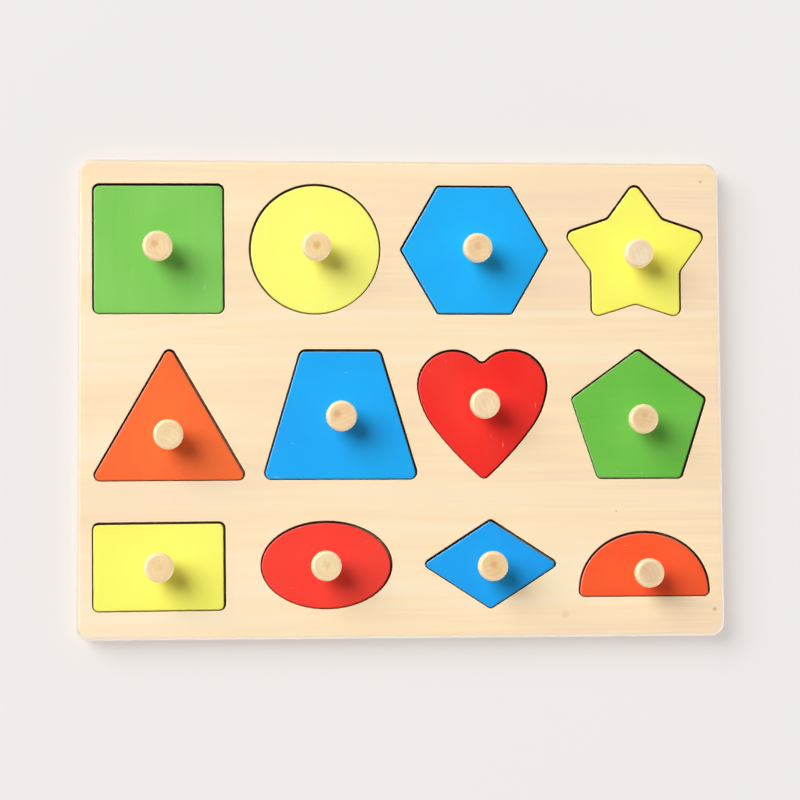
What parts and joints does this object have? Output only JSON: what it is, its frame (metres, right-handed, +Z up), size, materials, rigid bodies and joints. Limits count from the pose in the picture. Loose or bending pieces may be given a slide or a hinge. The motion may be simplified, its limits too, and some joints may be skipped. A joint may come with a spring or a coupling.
{
  "type": "wooden peg puzzle",
  "caption": "Flat wooden peg puzzle: painted geometric pieces with turned knobs lie loose in matching recesses and lift straight out of the board.",
  "frame": {"origin": "centre of the board's underside, on the surface that the puzzle lies on", "axes": "+X along the board's long side, +Y towards the back edge (the row of the square and the star), +Z up"},
  "size_m": [0.3, 0.222, 0.0217],
  "materials": {
    "frame_wood": "pale basswood plywood face, clear matt lacquer",
    "backing_plywood": "thin sanded plywood, bare",
    "knob_wood": "turned beech, sanded, bare",
    "green_paint": "water-based toy paint on wood, satin",
    "yellow_paint": "water-based toy paint on wood, satin",
    "blue_paint": "water-based toy paint on wood, satin",
    "orange_paint": "water-based toy paint on wood, satin",
    "red_paint": "water-based toy paint on wood, satin"
  },
  "bodies": {
    "board": {"backing_board": "backing_plywood", "frame_board": "frame_wood"},
    "square_insert": {"square_piece": "green_paint", "square_knob": "knob_wood"},
    "circle_insert": {"circle_piece": "yellow_paint", "circle_knob": "knob_wood"},
    "hexagon_insert": {"hexagon_piece": "blue_paint", "hexagon_knob": "knob_wood"},
    "star_insert": {"star_piece": "yellow_paint", "star_knob": "knob_wood"},
    "triangle_insert": {"triangle_piece": "orange_paint", "triangle_knob": "knob_wood"},
    "trapezium_insert": {"trapezium_piece": "blue_paint", "trapezium_knob": "knob_wood"},
    "heart_insert": {"heart_piece": "red_paint", "heart_knob": "knob_wood"},
    "pentagon_insert": {"pentagon_piece": "green_paint", "pentagon_knob": "knob_wood"},
    "rectangle_insert": {"rectangle_piece": "yellow_paint", "rectangle_knob": "knob_wood"},
    "oval_insert": {"oval_piece": "red_paint", "oval_knob": "knob_wood"},
    "rhombus_insert": {"rhombus_piece": "blue_paint", "rhombus_knob": "knob_wood"},
    "semicircle_insert": {"semicircle_piece": "orange_paint", "semicircle_knob": "knob_wood"}
  },
  "joints": [
    {"name": "square_lift", "type": "slide", "parent": "board", "child": "square_insert", "axis": [0, 0, 1], "range_m": [0, 0.05]},
    {"name": "circle_lift", "type": "slide", "parent": "board", "child": "circle_insert", "axis": [0, 0, 1], "range_m": [0, 0.05]},
    {"name": "hexagon_lift", "type": "slide", "parent": "board", "child": "hexagon_insert", "axis": [0, 0, 1], "range_m": [0, 0.05]},
    {"name": "star_lift", "type": "slide", "parent": "board", "child": "star_insert", "axis": [0, 0, 1], "range_m": [0, 0.05]},
    {"name": "triangle_lift", "type": "slide", "parent": "board", "child": "triangle_insert", "axis": [0, 0, 1], "range_m": [0, 0.05]},
    {"name": "trapezium_lift", "type": "slide", "parent": "board", "child": "trapezium_insert", "axis": [0, 0, 1], "range_m": [0, 0.05]},
    {"name": "heart_lift", "type": "slide", "parent": "board", "child": "heart_insert", "axis": [0, 0, 1], "range_m": [0, 0.05]},
    {"name": "pentagon_lift", "type": "slide", "parent": "board", "child": "pentagon_insert", "axis": [0, 0, 1], "range_m": [0, 0.05]},
    {"name": "rectangle_lift", "type": "slide", "parent": "board", "child": "rectangle_insert", "axis": [0, 0, 1], "range_m": [0, 0.05]},
    {"name": "oval_lift", "type": "slide", "parent": "board", "child": "oval_insert", "axis": [0, 0, 1], "range_m": [0, 0.05]},
    {"name": "rhombus_lift", "type": "slide", "parent": "board", "child": "rhombus_insert", "axis": [0, 0, 1], "range_m": [0, 0.05]},
    {"name": "semicircle_lift", "type": "slide", "parent": "board", "child": "semicircle_insert", "axis": [0, 0, 1], "range_m": [0, 0.05]}
  ]
}
